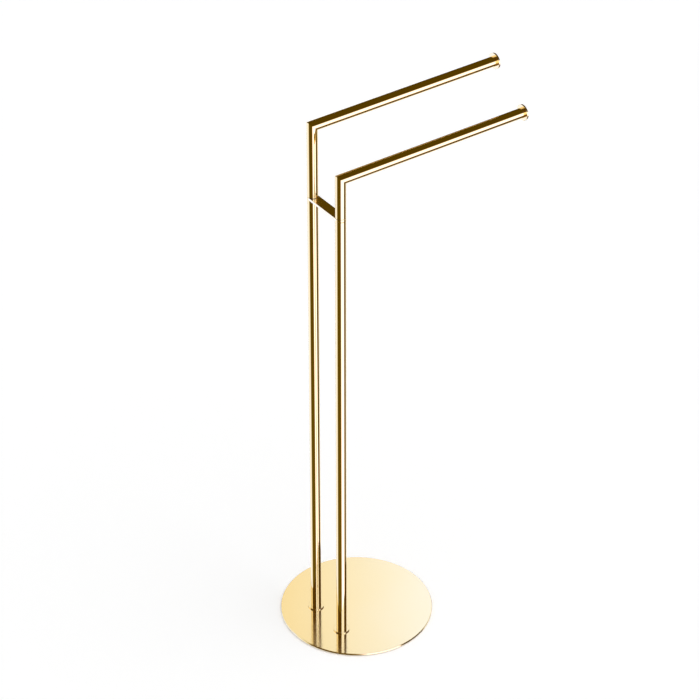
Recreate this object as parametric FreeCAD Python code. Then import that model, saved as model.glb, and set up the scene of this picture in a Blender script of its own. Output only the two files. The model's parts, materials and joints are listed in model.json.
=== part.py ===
import FreeCAD, Part
import os

# Freestanding towel stand. A round base plate carries two upright posts. A flat link plate ties
# the tops of the posts together, and an L-shaped towel arm turns on top of each one, the rear arm
# higher than the front arm.
#
# All sizes are in millimetres. +Z is up. The origin is on the floor, under the middle of the base.
# The arms reach along +X, and the rear post stands on the +Y side.

Vec = FreeCAD.Vector
UP = Vec(0, 0, 1)
ARM_WAY = Vec(1, 0, 0)

# ---- Driving dimensions ----

# Tube of the posts, risers and arms
tube_diameter = 16.0
tube_wall = 1.2

# Base plate, and the anti-slip pad under it
base_diameter = 240.0
base_thickness = 3.0
base_edge_radius = 0.5
pad_thickness = 2.0
pad_inset = 6.0
pad_hole_margin = 2.0

# Posts, and the ring round the foot of each one
post_setback = 54.0
post_spacing = 70.0
post_length = 762.0
post_top_chamfer = 0.8
foot_ring_lip = 4.5
foot_ring_thickness = 2.0
foot_ring_edge_radius = 0.3

# Countersunk screws from under the base plate into the posts
base_screw_diameter = 5.0
base_screw_length = 16.0
base_screw_head_diameter = 10.0
base_screw_hex = 3.0
base_screw_hex_depth = 1.8

# Link plate between the posts and the risers
link_thickness = 4.0
link_edge_radius = 0.3

# Shoulder screws that the arms turn on
pivot_shoulder_diameter = 8.0
pivot_thread_diameter = 6.0
pivot_thread_length = 11.0
pivot_head_height = 5.0
pivot_hex = 4.0
pivot_hex_depth = 3.0

# Swivel: glide washer, bush, disc spring and set screw
glide_washer_thickness = 0.5
glide_washer_inset = 0.4
swivel_bush_length = 14.0
disc_spring_thickness = 0.5
disc_spring_cone = 0.3
set_screw_diameter = 4.0
set_screw_sink = 0.3
set_screw_tip_gap = 0.6
set_screw_hex = 2.0
set_screw_hex_depth = 1.5

# Towel arms. A rise runs from the riser's foot to the arm's centre line, and the arm's length
# runs from the riser's centre line to the end of the tube.
rear_rise = 116.5
front_rise = 62.5
riser_foot_chamfer = 0.3
arm_length = 324.5
cap_lip = 4.5
cap_thickness = 2.5
cap_edge_radius = 0.15
cap_spigot_length = 10.0

# Clearances, each on the radius, and the lead-ins of turned pieces
plug_clearance = 0.05
running_clearance = 0.05
thread_clearance = 0.05
screw_hole_clearance = 0.2
ring_clearance = 0.1
head_clearance = 0.5
lead_in = 0.5
thread_runout = 2.0
plug_end_wall = 5.0

# ---- Sizes and levels that follow from them ----

tube_radius = tube_diameter / 2
bore_radius = tube_radius - tube_wall
plug_radius = bore_radius - plug_clearance
shoulder_radius = pivot_shoulder_diameter / 2
swivel_bore_radius = shoulder_radius + running_clearance
pivot_head_radius = bore_radius - head_clearance

base_bottom = pad_thickness
base_top = base_bottom + base_thickness
post_top = base_top + post_length
link_top = post_top + link_thickness
riser_foot = link_top + glide_washer_thickness
bush_top = riser_foot + swivel_bush_length
set_screw_height = riser_foot + swivel_bush_length / 2
pivot_head_bottom = bush_top + disc_spring_thickness + disc_spring_cone

POSTS = {
    "rear": Vec(-post_setback, post_spacing / 2, 0),
    "front": Vec(-post_setback, -post_spacing / 2, 0),
}
ARM_HEIGHTS = {
    "rear": riser_foot + rear_rise,
    "front": riser_foot + front_rise,
}


# ---- Helpers ----

def turned(profile):
    """A solid turned about the Z axis from its (radius, height) outline."""
    points = [Vec(radius, 0, height) for radius, height in profile]
    return Part.Face(Part.makePolygon(points + points[:1])).revolve(Vec(), UP, 360)


def rod(radius, bottom, top):
    """A plain round rod on the Z axis."""
    return Part.makeCylinder(radius, top - bottom, Vec(0, 0, bottom))


def tube(bottom, top):
    """A length of the stand's tube on the Z axis."""
    return rod(tube_radius, bottom, top).cut(rod(bore_radius, bottom, top))


def circles(shape, radius, height):
    """The shape's circular edges of one radius at one height."""
    def matches(edge):
        curve = edge.Curve
        return (isinstance(curve, Part.Circle)
                and abs(curve.Radius - radius) < 1e-6
                and abs(curve.Center.z - height) < 1e-6)
    return [edge for edge in shape.Edges if matches(edge)]


def hexagon(across_flats, bottom, top):
    """A hexagonal prism on the Z axis, the shape of a socket for a hex key."""
    corner = Vec(across_flats / 3 ** 0.5, 0, bottom)
    turns = [FreeCAD.Rotation(UP, 60 * step) for step in range(7)]
    outline = Part.makePolygon([turn.multVec(corner) for turn in turns])
    return Part.Face(outline).extrude(Vec(0, 0, top - bottom))


def pointing(shape, start, way):
    """The shape turned from the Z axis to another way, and moved to its start."""
    return shape.transformed(FreeCAD.Placement(start, FreeCAD.Rotation(UP, way)).toMatrix())


def on_both_posts(piece):
    """One piece of each kind at both posts, as separate solids."""
    return Part.makeCompound([piece.translated(place) for place in POSTS.values()])


# ---- Base ----

def base_screw_hole():
    """The countersunk hole that a base screw passes up through."""
    hole = base_screw_diameter / 2 + screw_hole_clearance
    mouth = base_screw_head_diameter / 2 + screw_hole_clearance
    return turned([
        (0, base_bottom),
        (mouth, base_bottom),
        (hole, base_bottom + mouth - hole),
        (hole, base_top),
        (0, base_top),
    ])


def make_base_plate():
    plate = rod(base_diameter / 2, base_bottom, base_top)
    for height in (base_bottom, base_top):
        plate = plate.makeFillet(base_edge_radius, circles(plate, base_diameter / 2, height))
    return plate.cut(on_both_posts(base_screw_hole()))


def make_base_pad():
    pad = rod(base_diameter / 2 - pad_inset, 0, pad_thickness)
    hole = rod(base_screw_head_diameter / 2 + pad_hole_margin, 0, pad_thickness)
    return pad.cut(on_both_posts(hole))


def make_base_screw():
    """A 90 degree countersunk screw, its head flush with the plate's underside."""
    shank = base_screw_diameter / 2
    head = base_screw_head_diameter / 2
    tip = base_bottom + base_screw_length
    screw = turned([
        (0, base_bottom),
        (head, base_bottom),
        (shank, base_bottom + head - shank),
        (shank, tip - lead_in),
        (shank - lead_in, tip),
        (0, tip),
    ])
    return screw.cut(hexagon(base_screw_hex, base_bottom, base_bottom + base_screw_hex_depth))


def make_foot_ring():
    outside = tube_radius + foot_ring_lip
    top = base_top + foot_ring_thickness
    ring = rod(outside, base_top, top)
    ring = ring.makeFillet(foot_ring_edge_radius, circles(ring, outside, top))
    return ring.cut(rod(tube_radius + ring_clearance, base_top, top))


# ---- Posts ----

def make_post():
    """A post. The chamfer at its top leaves a fine groove under the link plate."""
    post = tube(base_top, post_top)
    return post.makeChamfer(post_top_chamfer, circles(post, tube_radius, post_top))


def make_foot_plug():
    """The plug in a post's foot, tapped from below for the base screw."""
    thread = base_screw_diameter / 2 + thread_clearance
    thread_end = base_bottom + base_screw_length + thread_runout
    top = thread_end + plug_end_wall
    return turned([
        (thread, base_top),
        (plug_radius, base_top),
        (plug_radius, top - lead_in),
        (plug_radius - lead_in, top),
        (0, top),
        (0, thread_end),
        (thread, thread_end),
    ])


def make_top_plug():
    """The plug in a post's top, tapped from above for the pivot screw."""
    thread = pivot_thread_diameter / 2 + thread_clearance
    thread_end = post_top - pivot_thread_length - thread_runout
    bottom = thread_end - plug_end_wall
    return turned([
        (0, bottom),
        (plug_radius - lead_in, bottom),
        (plug_radius, bottom + lead_in),
        (plug_radius, post_top),
        (thread, post_top),
        (thread, thread_end),
        (0, thread_end),
    ])


def make_link_plate():
    """A flat bar with round ends that are flush with the tubes."""
    bar = Part.makeBox(tube_diameter, post_spacing, link_thickness,
                       Vec(-post_setback - tube_radius, -post_spacing / 2, post_top))
    plate = bar.fuse(on_both_posts(rod(tube_radius, post_top, link_top)).Solids).removeSplitter()
    rims = [edge for edge in plate.Edges if edge.BoundBox.ZLength < 1e-6]
    plate = plate.makeFillet(link_edge_radius, rims)
    hole = rod(shoulder_radius + screw_hole_clearance, post_top, link_top)
    return plate.cut(on_both_posts(hole))


# ---- Swivels ----

def make_pivot_screw():
    """A shoulder screw: its thread is in the post's plug and its shoulder carries the bush."""
    thread = pivot_thread_diameter / 2
    tip = post_top - pivot_thread_length
    top = pivot_head_bottom + pivot_head_height
    screw = turned([
        (0, tip),
        (thread - lead_in, tip),
        (thread, tip + lead_in),
        (thread, post_top),
        (shoulder_radius, post_top),
        (shoulder_radius, pivot_head_bottom),
        (pivot_head_radius, pivot_head_bottom),
        (pivot_head_radius, top - lead_in),
        (pivot_head_radius - lead_in, top),
        (0, top),
    ])
    return screw.cut(hexagon(pivot_hex, top - pivot_hex_depth, top))


def make_glide_washer():
    washer = rod(tube_radius - glide_washer_inset, link_top, riser_foot)
    return washer.cut(rod(shoulder_radius + screw_hole_clearance, link_top, riser_foot))


def make_disc_spring():
    """A coned washer, wide end down on the bush and narrow end up under the screw's head."""
    inside = shoulder_radius + screw_hole_clearance
    return turned([
        (inside, bush_top + disc_spring_cone),
        (pivot_head_radius, bush_top),
        (pivot_head_radius, bush_top + disc_spring_thickness),
        (inside, pivot_head_bottom),
    ])


def make_swivel_bush():
    bush = turned([
        (swivel_bore_radius, riser_foot),
        (plug_radius, riser_foot),
        (plug_radius, bush_top - lead_in),
        (plug_radius - lead_in, bush_top),
        (swivel_bore_radius, bush_top),
    ])
    tapped = rod(set_screw_diameter / 2 + thread_clearance, 0, tube_radius)
    return bush.cut(pointing(tapped, Vec(0, 0, set_screw_height), ARM_WAY))


def make_set_screw():
    """A headless screw through the riser's wall into the bush, under the arm."""
    radius = set_screw_diameter / 2
    tip = shoulder_radius + set_screw_tip_gap
    end = tube_radius - set_screw_sink
    screw = rod(radius, tip, end).cut(hexagon(set_screw_hex, end - set_screw_hex_depth, end))
    return pointing(screw, Vec(0, 0, set_screw_height), ARM_WAY)


# ---- Arms ----

def mitre_block(height, way):
    """A block that fills one side of the 45 degree plane between riser and arm."""
    reach = 2 * tube_diameter
    block = Part.makeBox(2 * reach, 2 * reach, reach, Vec(-reach, -reach, 0))
    return pointing(block, Vec(0, 0, height), way)


def make_riser(height):
    """The upright leg of an arm, cut on the mitre at its top."""
    riser = tube(riser_foot, height + tube_radius)
    riser = riser.makeChamfer(riser_foot_chamfer, circles(riser, tube_radius, riser_foot))
    hole = rod(set_screw_diameter / 2 + screw_hole_clearance, 0, tube_diameter)
    riser = riser.cut(pointing(hole, Vec(0, 0, set_screw_height), ARM_WAY))
    return riser.cut(mitre_block(height, UP + ARM_WAY))


def make_arm(height):
    """The level leg of an arm, cut on the mitre at its riser."""
    arm = pointing(tube(-tube_radius, arm_length), Vec(0, 0, height), ARM_WAY)
    return arm.cut(mitre_block(height, -UP - ARM_WAY))


def make_end_cap(height):
    """A thin disc on a spigot that closes the end of an arm."""
    outside = tube_radius + cap_lip
    disc = rod(outside, 0, cap_thickness)
    for level in (0, cap_thickness):
        disc = disc.makeFillet(cap_edge_radius, circles(disc, outside, level))
    spigot = turned([
        (0, -cap_spigot_length),
        (plug_radius - lead_in, -cap_spigot_length),
        (plug_radius, -cap_spigot_length + lead_in),
        (plug_radius, 0),
        (0, 0),
    ])
    return pointing(disc.fuse(spigot), Vec(arm_length, 0, height), ARM_WAY)


# ---- Nodes ----

def make_nodes():
    nodes = {
        "base_pad": make_base_pad(),
        "base_plate": make_base_plate(),
        "base_screws": on_both_posts(make_base_screw()),
        "link_plate": make_link_plate(),
        "pivot_screws": on_both_posts(make_pivot_screw()),
        "glide_washers": on_both_posts(make_glide_washer()),
        "disc_springs": on_both_posts(make_disc_spring()),
    }
    for side, place in POSTS.items():
        height = ARM_HEIGHTS[side]
        pieces = {
            "foot_ring": make_foot_ring(),
            "foot_plug": make_foot_plug(),
            "post": make_post(),
            "top_plug": make_top_plug(),
            "swivel_bush": make_swivel_bush(),
            "set_screw": make_set_screw(),
            "riser": make_riser(height),
            "arm": make_arm(height),
            "end_cap": make_end_cap(height),
        }
        for name, piece in pieces.items():
            nodes[side + "_" + name] = piece.translated(place)
    return nodes


os.makedirs("parts", exist_ok=True)
for name, shape in make_nodes().items():
    shape.exportStep("parts/" + name + ".step")
    print(name, "solids", len(shape.Solids), "volume", round(shape.Volume, 1), "valid", shape.isValid())
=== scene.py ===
import json
import math

import bpy
from mathutils import Matrix, Vector


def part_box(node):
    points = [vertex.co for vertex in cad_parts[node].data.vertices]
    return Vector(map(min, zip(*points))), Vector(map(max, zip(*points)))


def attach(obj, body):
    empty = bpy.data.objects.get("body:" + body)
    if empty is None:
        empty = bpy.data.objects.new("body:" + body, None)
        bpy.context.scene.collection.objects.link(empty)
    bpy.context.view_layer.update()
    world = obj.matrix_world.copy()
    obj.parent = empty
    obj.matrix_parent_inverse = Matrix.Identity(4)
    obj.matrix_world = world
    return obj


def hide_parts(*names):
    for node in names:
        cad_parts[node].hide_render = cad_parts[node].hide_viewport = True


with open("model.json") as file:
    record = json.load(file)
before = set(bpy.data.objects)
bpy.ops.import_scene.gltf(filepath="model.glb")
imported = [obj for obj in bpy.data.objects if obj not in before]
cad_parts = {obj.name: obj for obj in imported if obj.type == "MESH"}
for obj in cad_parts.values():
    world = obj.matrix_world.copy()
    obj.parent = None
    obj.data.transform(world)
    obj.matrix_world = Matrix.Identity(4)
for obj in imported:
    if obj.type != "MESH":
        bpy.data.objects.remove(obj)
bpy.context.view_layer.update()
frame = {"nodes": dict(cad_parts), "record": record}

# Freestanding towel stand in polished, gold-plated brass, in a white studio. Lengths are in metres
# and angles in degrees. A compass angle is measured from +X towards +Y, and a height angle upwards
# from the level.

MM = 0.001
HALF_TURN = 180
WHITE = "#FFFFFF"
ALONG = Vector((1, 0, 0))
ACROSS = Vector((0, 1, 0))
UP = Vector((0, 0, 1))


# ---- Colours, nodes and objects ----

def linear(hex_code):
    """The linear colour of an sRGB hex value."""
    channels = [int(hex_code[at:at + 2], 16) / 255 for at in (1, 3, 5)]
    return [c / 12.92 if c <= 0.04045 else ((c + 0.055) / 1.055) ** 2.4 for c in channels] + [1]


def add(tree, kind, inputs=(), **settings):
    """Adds a node. A socket is given by its name, or by its number where a node has several of that
    name, and its value may be another node's output, which is then linked to it."""
    node = tree.nodes.new(kind)
    for name, value in settings.items():
        setattr(node, name, value)
    for socket, value in dict(inputs).items():
        if isinstance(value, bpy.types.NodeSocket):
            tree.links.new(value, node.inputs[socket])
        else:
            node.inputs[socket].default_value = value
    return node


def new_material(name):
    material = bpy.data.materials.new(name)
    material.use_nodes = True
    material.node_tree.nodes.clear()
    return material, material.node_tree


def add_object(name, data):
    thing = bpy.data.objects.new(name, data)
    bpy.context.scene.collection.objects.link(thing)
    return thing


def towards(compass, height):
    """The unit vector in the direction of a compass and a height angle."""
    level = Vector((math.cos(math.radians(height)), 0, math.sin(math.radians(height))))
    return Matrix.Rotation(math.radians(compass), 3, "Z") @ level


# ---- Studio ----

# What polished metal mirrors: a white room with cards and softboxes round the object, each one as
# (name, compass middle, half width, height middle, half height, soft edge, colour, strength).
# They are laid over each other in this order. The brown cards give a pale metal its dark bands.
CARDS = [
    ("brown wall behind", 56, 28, 22, 30, 8, "#524003", 1),
    ("gold card behind", 57, 12, -23, 14, 4, "#D9A84A", 1),
    ("brown ceiling", 0, 200, 47, 29, 9, "#524003", 1),
    ("cool wall", 120, 29, -1, 50, 8, "#DCE3FF", 1.45),
    ("strip softbox", 125, 4, -33, 12, 3, "#ACBEFF", 2.5),
    ("tall softbox", -97.5, 28.5, -20, 36, 6, "#DFDAFF", 2.5),
    ("high softbox", -92, 30, 29.5, 15.5, 5, "#9DB1FF", 3.4),
    ("low softbox", -60, 22, -22, 36, 9, "#DFDAFF", 2.5),
    ("brown floor", -95, 60, -82, 24, 6, "#524003", 1),
    ("brown floor below", 0, 200, -88, 15, 5, "#524003", 1),
    ("beige card", -27, 25.5, -46.5, 19.5, 6, "#55420A", 1),
    ("brown card", -160.5, 38.5, -48, 22, 6, "#574402", 1),
    ("brown card above", -164, 34, 15, 42, 6, "#524003", 1),
    ("brown card at the floor", -157, 42, -62, 26, 9, "#6C5B1C", 1),
]
EYE_GAMMA = 2.2
AMBIENT = 0.45


def as_seen(hex_code, strength=1):
    """A colour in even steps for the eye, as the cards are mixed, and not in linear light."""
    return [(channel * strength) ** (1 / EYE_GAMMA) for channel in linear(hex_code)[:3]] + [1]


def card_mask(tree, compass, height, middle, half_width, level, half_height, edge):
    """1 inside a card and 0 outside it."""
    turn = add(tree, "ShaderNodeMath", {0: compass, 1: middle}, operation="SUBTRACT")
    turn = add(tree, "ShaderNodeMath", {0: turn.outputs[0], 1: HALF_TURN, 2: -HALF_TURN},
               operation="WRAP")
    rise = add(tree, "ShaderNodeMath", {0: height, 1: level}, operation="SUBTRACT")
    masks = []
    for offset, half in ((turn, half_width), (rise, half_height)):
        size = add(tree, "ShaderNodeMath", {0: offset.outputs[0]}, operation="ABSOLUTE")
        edges = {"Value": size.outputs[0], "From Min": half + edge, "From Max": half - edge}
        masks.append(add(tree, "ShaderNodeMapRange", edges, interpolation_type="SMOOTHSTEP"))
    both = {0: masks[0].outputs[0], 1: masks[1].outputs[0]}
    return add(tree, "ShaderNodeMath", both, operation="MULTIPLY").outputs[0]


def mirrored_room(tree):
    """The colour of the room with its cards, in the direction of the ray that meets it."""
    direction = add(tree, "ShaderNodeTexCoord").outputs["Generated"]
    way = add(tree, "ShaderNodeSeparateXYZ", {0: direction})
    compass = add(tree, "ShaderNodeMath", {0: way.outputs["Y"], 1: way.outputs["X"]},
                  operation="ARCTAN2")
    compass = add(tree, "ShaderNodeMath", {0: compass.outputs[0]}, operation="DEGREES").outputs[0]
    height = add(tree, "ShaderNodeMath", {0: way.outputs["Z"]}, operation="ARCSINE")
    height = add(tree, "ShaderNodeMath", {0: height.outputs[0]}, operation="DEGREES").outputs[0]
    room = as_seen(WHITE)
    for name, middle, half_width, level, half_height, edge, colour, strength in CARDS:
        mask = card_mask(tree, compass, height, middle, half_width, level, half_height, edge)
        laid_on = {0: mask, 6: room, 7: as_seen(colour, strength)}
        room = add(tree, "ShaderNodeMix", laid_on, data_type="RGBA", label=name).outputs[2]
    return add(tree, "ShaderNodeGamma", {"Color": room, "Gamma": EYE_GAMMA}).outputs[0]


def make_world():
    """The room is seen in metal alone. The camera sees a white backdrop in its place, and matt
    surfaces get even light from all round."""
    world = bpy.data.worlds.new("white_studio")
    world.use_nodes = True
    bpy.context.scene.world = world
    tree = world.node_tree
    tree.nodes.clear()
    white = linear(WHITE)
    room = add(tree, "ShaderNodeBackground", {"Color": mirrored_room(tree), "Strength": 1})
    ambient = add(tree, "ShaderNodeBackground", {"Color": white, "Strength": AMBIENT})
    backdrop = add(tree, "ShaderNodeBackground", {"Color": white, "Strength": 1})
    path = add(tree, "ShaderNodeLightPath").outputs
    lit = add(tree, "ShaderNodeMixShader", {
        0: path["Is Glossy Ray"], 1: ambient.outputs[0], 2: room.outputs[0]})
    through = add(tree, "ShaderNodeMath", {
        0: path["Is Camera Ray"], 1: path["Is Transmission Ray"]}, operation="MAXIMUM")
    seen = add(tree, "ShaderNodeMixShader", {
        0: through.outputs[0], 1: lit.outputs[0], 2: backdrop.outputs[0]})
    add(tree, "ShaderNodeOutputWorld", {"Surface": seen.outputs[0]})


make_world()


# ---- Camera ----

CAMERA_COMPASS = -125.17
CAMERA_HEIGHT = 34.96
CAMERA_AIM = Vector((-0.0127, 0.0004, 0.5036))
CAMERA_DISTANCE = 4.4085
CAMERA_LENS = 152.0


def make_camera():
    camera = add_object("camera", bpy.data.cameras.new("camera"))
    camera.data.lens = CAMERA_LENS
    back = towards(CAMERA_COMPASS, CAMERA_HEIGHT)
    camera.location = CAMERA_AIM + back * CAMERA_DISTANCE
    camera.rotation_euler = back.to_track_quat("Z", "Y").to_euler()
    bpy.context.scene.camera = camera


make_camera()


# ---- Panel, floor and lamp ----

# The panel stands behind the object, where only the base is placed to mirror it. Its light runs
# from cream to a stronger, cooler white between two places across it.
PANEL_DISTANCE = 0.75
PANEL_HALF_WIDTH = 0.36
PANEL_BOTTOM = 0.42
PANEL_TOP = 0.86
PANEL_LEFT = as_seen("#FBF7ED")
PANEL_RIGHT = as_seen("#C4D2FF", strength=1.86)
PANEL_RAMP_START = -0.15
PANEL_RAMP_END = 0.13

FLOOR_HALF_SIDE = 6.0
FLOOR_COLOUR = "#F4F4F4"
FLOOR_LIFT = 0.255

LAMP_COMPASS = -60
LAMP_HEIGHT = 68
LAMP_SPREAD = 50
LAMP_STRENGTH = 1.3


def make_sheet(name, corners, material):
    mesh = bpy.data.meshes.new(name)
    mesh.from_pydata(corners, [], [range(len(corners))])
    mesh.materials.append(material)
    sheet = add_object(name, mesh)
    return sheet


def make_panel():
    away = towards(CAMERA_COMPASS + HALF_TURN, 0)
    right = away.cross(UP)
    material, tree = new_material("panel_light")
    place = add(tree, "ShaderNodeTexCoord").outputs["Object"]
    across = add(tree, "ShaderNodeVectorMath", {0: place, 1: right}, operation="DOT_PRODUCT")
    share = add(tree, "ShaderNodeMapRange", {
        "Value": across.outputs["Value"], "From Min": PANEL_RAMP_START, "From Max": PANEL_RAMP_END})
    ramp = add(tree, "ShaderNodeMix", {
        0: share.outputs[0], 6: PANEL_LEFT, 7: PANEL_RIGHT}, data_type="RGBA")
    light = add(tree, "ShaderNodeGamma", {"Color": ramp.outputs[2], "Gamma": EYE_GAMMA})
    glow = add(tree, "ShaderNodeEmission", {"Color": light.outputs[0], "Strength": 1})
    add(tree, "ShaderNodeOutputMaterial", {"Surface": glow.outputs[0]})
    edges = ((-1, PANEL_BOTTOM), (1, PANEL_BOTTOM), (1, PANEL_TOP), (-1, PANEL_TOP))
    corners = [away * PANEL_DISTANCE + right * (side * PANEL_HALF_WIDTH) + UP * height
               for side, height in edges]
    panel = make_sheet("panel", corners, material)
    for ray in ("camera", "diffuse", "transmission", "volume_scatter", "shadow"):
        setattr(panel, "visible_" + ray, False)


def make_floor():
    """A pale paper floor, lifted to white for the camera, where the stand's shadow stays visible.
    Metal mirrors the cards in its place."""
    material, tree = new_material("pale_paper_floor")
    matt = add(tree, "ShaderNodeBsdfDiffuse", {"Color": linear(FLOOR_COLOUR)})
    path = add(tree, "ShaderNodeLightPath").outputs
    lift = add(tree, "ShaderNodeMath", {0: path["Is Camera Ray"], 1: FLOOR_LIFT},
               operation="MULTIPLY")
    glow = add(tree, "ShaderNodeEmission", {"Color": linear(WHITE), "Strength": lift.outputs[0]})
    both = add(tree, "ShaderNodeAddShader", {0: matt.outputs[0], 1: glow.outputs[0]})
    add(tree, "ShaderNodeOutputMaterial", {"Surface": both.outputs[0]})
    sides = ((-1, -1), (1, -1), (1, 1), (-1, 1))
    corners = [(x * FLOOR_HALF_SIDE, y * FLOOR_HALF_SIDE, 0) for x, y in sides]
    floor = make_sheet("floor", corners, material)
    floor.visible_glossy = False


def make_lamp():
    """Wide, even light from above. Polished metal mirrors the cards in its place, so it leaves no
    second glare."""
    lamp = add_object("overhead_light", bpy.data.lights.new("overhead_light", "SUN"))
    lamp.data.energy = LAMP_STRENGTH
    lamp.data.angle = math.radians(LAMP_SPREAD)
    lamp.visible_glossy = False
    way = towards(LAMP_COMPASS, LAMP_HEIGHT)
    lamp.rotation_euler = way.to_track_quat("Z", "Y").to_euler()


make_panel()
make_floor()
make_lamp()


# ---- Materials ----
#
# Every pattern is laid out in Object coordinates, which are the part's own frame in metres.

GOLD = linear("#FFE4A4")
GOLD_PALE = linear("#FFE6AC")

# A wave texture at this scale draws one band to each unit of its coordinates.
ONE_BAND_PER_UNIT = math.tau / 20


def pattern_place(tree, pitch_mm):
    """Object coordinates in which one unit is one pattern step along each axis."""
    place = add(tree, "ShaderNodeTexCoord").outputs["Object"]
    steps = [1 / (pitch * MM) for pitch in pitch_mm]
    return add(tree, "ShaderNodeMapping", {"Vector": place, "Scale": steps}).outputs[0]


def polished_tube(name, draw_pitch_mm):
    """Brass tube, drawn, buffed and gold plated. It mirrors like glass, and the draw lines, which
    run along the tube, only soften the mirror image a little from line to line. The real lines are
    some 0.05 mm apart and are drawn coarser here, so that they show close up."""
    material, tree = new_material(name)
    lines = add(tree, "ShaderNodeTexNoise", {
        "Vector": pattern_place(tree, draw_pitch_mm), "Scale": 1, "Detail": 3, "Roughness": 0.6})
    bath = add(tree, "ShaderNodeTexNoise", {
        "Vector": pattern_place(tree, (60, 60, 60)), "Scale": 1, "Detail": 2})
    plating = add(tree, "ShaderNodeMix", {
        0: bath.outputs["Fac"], 6: GOLD, 7: GOLD_PALE}, data_type="RGBA")
    haze = add(tree, "ShaderNodeMapRange", {
        "Value": lines.outputs["Fac"], "To Min": 0.03, "To Max": 0.07})
    relief = add(tree, "ShaderNodeBump", {
        "Height": lines.outputs["Fac"], "Strength": 0.02, "Distance": 0.005 * MM})
    shader = add(tree, "ShaderNodeBsdfPrincipled", {
        "Base Color": plating.outputs[2], "Metallic": 1, "Roughness": haze.outputs[0],
        "Normal": relief.outputs[0]})
    add(tree, "ShaderNodeOutputMaterial", {"Surface": shader.outputs[0]})
    return material


def polished_plate():
    """Brass disc, plate and turned caps, buffed and gold plated. The wheel leaves a fine haze in
    short strokes, so a mirror image in the wide base softens with its distance."""
    material, tree = new_material("gold_plate_buffed_flat")
    strokes = add(tree, "ShaderNodeTexNoise", {
        "Vector": pattern_place(tree, (1.2, 9, 9)), "Scale": 1, "Detail": 4, "Roughness": 0.65})
    bath = add(tree, "ShaderNodeTexNoise", {
        "Vector": pattern_place(tree, (90, 90, 90)), "Scale": 1, "Detail": 2})
    plating = add(tree, "ShaderNodeMix", {
        0: bath.outputs["Fac"], 6: GOLD, 7: GOLD_PALE}, data_type="RGBA")
    haze = add(tree, "ShaderNodeMapRange", {
        "Value": strokes.outputs["Fac"], "To Min": 0.09, "To Max": 0.13})
    relief = add(tree, "ShaderNodeBump", {
        "Height": strokes.outputs["Fac"], "Strength": 0.02, "Distance": 0.005 * MM})
    shader = add(tree, "ShaderNodeBsdfPrincipled", {
        "Base Color": plating.outputs[2], "Metallic": 1, "Roughness": haze.outputs[0],
        "Normal": relief.outputs[0]})
    add(tree, "ShaderNodeOutputMaterial", {"Surface": shader.outputs[0]})
    return material


def turned_brass():
    """Bare brass bar, turned. The tool's feed leaves fine rings round each plug and bush, 0.15 mm
    apart, and the metal between them is dull and a little uneven in colour."""
    material, tree = new_material("bare_brass_turned")
    rings = add(tree, "ShaderNodeTexWave", {
        "Vector": pattern_place(tree, (1, 1, 0.15)), "Scale": ONE_BAND_PER_UNIT,
        "Distortion": 0.2}, bands_direction="Z")
    tarnish = add(tree, "ShaderNodeTexNoise", {
        "Vector": pattern_place(tree, (4, 4, 4)), "Scale": 1, "Detail": 4})
    colour = add(tree, "ShaderNodeMix", {
        0: tarnish.outputs["Fac"], 6: linear("#D9BC7E"), 7: linear("#C9A562")}, data_type="RGBA")
    haze = add(tree, "ShaderNodeMapRange", {
        "Value": tarnish.outputs["Fac"], "To Min": 0.24, "To Max": 0.4})
    relief = add(tree, "ShaderNodeBump", {
        "Height": rings.outputs["Fac"], "Strength": 0.5, "Distance": 0.01 * MM})
    shader = add(tree, "ShaderNodeBsdfPrincipled", {
        "Base Color": colour.outputs[2], "Metallic": 1, "Roughness": haze.outputs[0],
        "Normal": relief.outputs[0]})
    add(tree, "ShaderNodeOutputMaterial", {"Surface": shader.outputs[0]})
    return material


def zinc_plated_steel():
    """Steel screws and springs, bright zinc plated. The bath leaves them grey with faint blue and
    straw patches about a millimetre across, and duller than a polished piece."""
    material, tree = new_material("steel_bright_zinc_plated")
    patches = add(tree, "ShaderNodeTexNoise", {
        "Vector": pattern_place(tree, (1.5, 1.5, 1.5)), "Scale": 1, "Detail": 3})
    colour = add(tree, "ShaderNodeMix", {
        0: patches.outputs["Fac"], 6: linear("#B7BEC8"), 7: linear("#C9C4B4")}, data_type="RGBA")
    grain = add(tree, "ShaderNodeTexNoise", {
        "Vector": pattern_place(tree, (0.2, 0.2, 0.2)), "Scale": 1, "Detail": 2})
    haze = add(tree, "ShaderNodeMapRange", {
        "Value": grain.outputs["Fac"], "To Min": 0.26, "To Max": 0.42})
    relief = add(tree, "ShaderNodeBump", {
        "Height": grain.outputs["Fac"], "Strength": 0.2, "Distance": 0.01 * MM})
    shader = add(tree, "ShaderNodeBsdfPrincipled", {
        "Base Color": colour.outputs[2], "Metallic": 1, "Roughness": haze.outputs[0],
        "Normal": relief.outputs[0]})
    add(tree, "ShaderNodeOutputMaterial", {"Surface": shader.outputs[0]})
    return material


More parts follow.
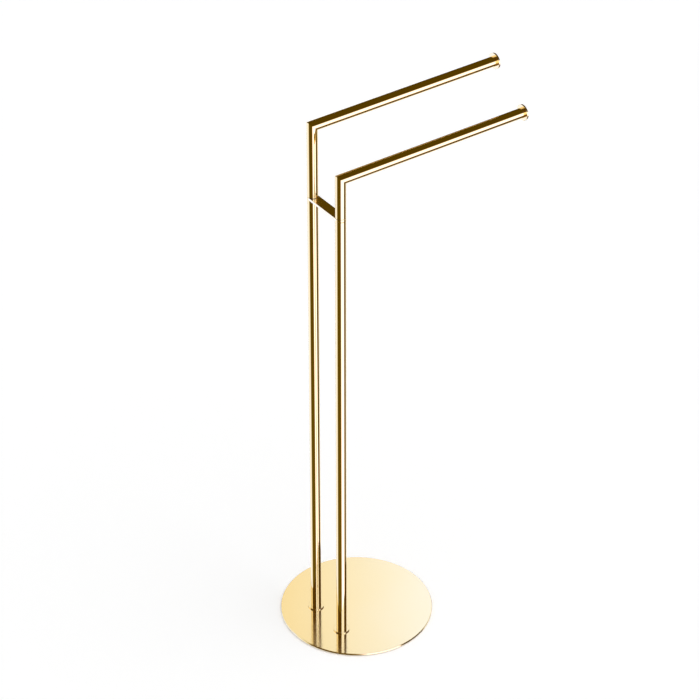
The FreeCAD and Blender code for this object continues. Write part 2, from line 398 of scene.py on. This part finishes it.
def moulded_acetal():
    """Acetal washers, moulded in black. Waxy, with the fine grain of a spark-eroded mould."""
    material, tree = new_material("acetal_moulded")
    grain = add(tree, "ShaderNodeTexNoise", {
        "Vector": pattern_place(tree, (0.15, 0.15, 0.15)), "Scale": 1, "Detail": 2})
    flow = add(tree, "ShaderNodeTexNoise", {
        "Vector": pattern_place(tree, (5, 5, 5)), "Scale": 1, "Detail": 2})
    colour = add(tree, "ShaderNodeMix", {
        0: flow.outputs["Fac"], 6: linear("#1D1D1D"), 7: linear("#282828")}, data_type="RGBA")
    haze = add(tree, "ShaderNodeMapRange", {
        "Value": grain.outputs["Fac"], "To Min": 0.36, "To Max": 0.5})
    relief = add(tree, "ShaderNodeBump", {
        "Height": grain.outputs["Fac"], "Strength": 0.2, "Distance": 0.01 * MM})
    shader = add(tree, "ShaderNodeBsdfPrincipled", {
        "Base Color": colour.outputs[2], "Metallic": 0, "Roughness": haze.outputs[0], "IOR": 1.48,
        "Normal": relief.outputs[0]})
    add(tree, "ShaderNodeOutputMaterial", {"Surface": shader.outputs[0]})
    return material


def rubber_sheet():
    """Rubber pad, cut from calendered sheet. Matt near-black, with the print of the cloth that it
    was rolled on, 0.8 mm from thread to thread, and dust-grey patches."""
    material, tree = new_material("rubber_calendered_sheet")
    cloth = add(tree, "ShaderNodeTexVoronoi", {
        "Vector": pattern_place(tree, (0.8, 0.8, 0.8)), "Scale": 1, "Randomness": 0.15})
    dust = add(tree, "ShaderNodeTexNoise", {
        "Vector": pattern_place(tree, (12, 12, 12)), "Scale": 1, "Detail": 5})
    colour = add(tree, "ShaderNodeMix", {
        0: dust.outputs["Fac"], 6: linear("#1B1B1C"), 7: linear("#2A2A29")}, data_type="RGBA")
    haze = add(tree, "ShaderNodeMapRange", {
        "Value": dust.outputs["Fac"], "To Min": 0.75, "To Max": 0.9})
    relief = add(tree, "ShaderNodeBump", {
        "Height": cloth.outputs["Distance"], "Strength": 0.5, "Distance": 0.08 * MM})
    shader = add(tree, "ShaderNodeBsdfPrincipled", {
        "Base Color": colour.outputs[2], "Metallic": 0, "Roughness": haze.outputs[0], "IOR": 1.52,
        "Normal": relief.outputs[0]})
    add(tree, "ShaderNodeOutputMaterial", {"Surface": shader.outputs[0]})
    return material


TUBE_UPRIGHT = polished_tube("gold_plated_tube_upright", (0.4, 0.4, 60))
TUBE_LEVEL = polished_tube("gold_plated_tube_level", (60, 0.4, 0.4))
FINISHES = {
    "tube_gold": TUBE_UPRIGHT,
    "plate_gold": polished_plate(),
    "turned_brass": turned_brass(),
    "screw_steel": zinc_plated_steel(),
    "acetal": moulded_acetal(),
    "pad_rubber": rubber_sheet(),
}

for part in frame["record"]["subparts"]:
    surface = frame["nodes"][part["node"]].data.materials
    surface.clear()
    surface.append(FINISHES[part["material_slot"]])


# ---- Tubes ----
#
# The posts, risers and arms again as finely divided tubes, in the place and at the size of their
# solids, because a polished tube shows every facet in its mirror image. Their ends have a small
# chamfer, and the top of a post a wide one, which leaves a groove under the link plate.

TUBE_SIDES = 160
TUBE_WALL = 1.2 * MM
END_BREAK = 0.15 * MM
JOINT_BREAK = 0.8 * MM
SHARP_ANGLE = 15


def as_is(point):
    """Leaves a point where it is, for an end that is cut square."""
    return point


def ring(centre, side, up, radius, lean):
    """Points round a tube. lean(point) moves each one along the tube, to where the tube ends."""
    points = []
    for step in range(TUBE_SIDES):
        turn = math.tau * step / TUBE_SIDES
        point = centre + (side * math.cos(turn) + up * math.sin(turn)) * radius
        points.append(lean(point))
    return points


def tube(name, node, body, finish, rings):
    """A tube through these rings and back to the first, which is one closed skin with its bore."""
    mesh = bpy.data.meshes.new(name)
    points = [point for loop in rings for point in loop]
    faces = []
    for this in range(len(rings)):
        following = (this + 1) % len(rings)
        for step in range(TUBE_SIDES):
            beside = (step + 1) % TUBE_SIDES
            faces.append((this * TUBE_SIDES + step, this * TUBE_SIDES + beside,
                          following * TUBE_SIDES + beside, following * TUBE_SIDES + step))
    mesh.from_pydata(points, [], faces)
    mesh.shade_smooth()
    mesh.set_sharp_from_angle(angle=math.radians(SHARP_ANGLE))
    mesh.materials.append(finish)
    piece = add_object(name, mesh)
    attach(piece, body)
    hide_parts(node)


def post(node):
    """A post, with the chamfer round its top that shows as the seam under the link plate."""
    low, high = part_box(node)
    axis = (low + high) / 2
    radius = (high.x - low.x) / 2
    bore = radius - TUBE_WALL
    profile = [
        (radius - END_BREAK, low.z),
        (radius, low.z + END_BREAK),
        (radius, high.z - JOINT_BREAK),
        (radius - JOINT_BREAK, high.z),
        (bore, high.z),
        (bore, low.z),
    ]
    rings = [ring(Vector((axis.x, axis.y, height)), ALONG, ACROSS, size, as_is)
             for size, height in profile]
    tube(node + "_tube", node, "stand", TUBE_UPRIGHT, rings)


def towel_arm(riser, arm, body):
    """Riser and level arm, cut at 45 degrees and brazed. The mitre runs from the outer corner down
    to the inner one, and is ground and polished flush."""
    riser_low, riser_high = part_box(riser)
    arm_low, arm_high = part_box(arm)
    radius = (riser_high.y - riser_low.y) / 2
    bore = radius - TUBE_WALL
    corner = Vector((riser_low.x + radius, (riser_low.y + riser_high.y) / 2, arm_high.z - radius))
    foot = corner + UP * (riser_low.z - corner.z)
    tip = corner + ALONG * (arm_high.x - corner.x)

    def to_mitre_upright(point):
        return Vector((point.x, point.y, corner.z - (point.x - corner.x)))

    def to_mitre_level(point):
        return Vector((corner.x - (point.z - corner.z), point.y, point.z))

    upright = [
        (foot, radius - END_BREAK, as_is),
        (foot + UP * END_BREAK, radius, as_is),
        (corner, radius, to_mitre_upright),
        (corner, bore, to_mitre_upright),
        (foot, bore, as_is),
    ]
    level = [
        (corner, radius, to_mitre_level),
        (tip - ALONG * END_BREAK, radius, as_is),
        (tip, radius - END_BREAK, as_is),
        (tip, bore, as_is),
        (corner, bore, to_mitre_level),
    ]
    tube(riser + "_tube", riser, body, TUBE_UPRIGHT,
         [ring(centre, ALONG, ACROSS, size, end) for centre, size, end in upright])
    tube(arm + "_tube", arm, body, TUBE_LEVEL,
         [ring(centre, ACROSS, UP, size, end) for centre, size, end in level])


post("rear_post")
post("front_post")
towel_arm("rear_riser", "rear_arm", "rear_towel_arm")
towel_arm("front_riser", "front_arm", "front_towel_arm")


# ---- View ----

bpy.context.scene.view_settings.view_transform = "Standard"
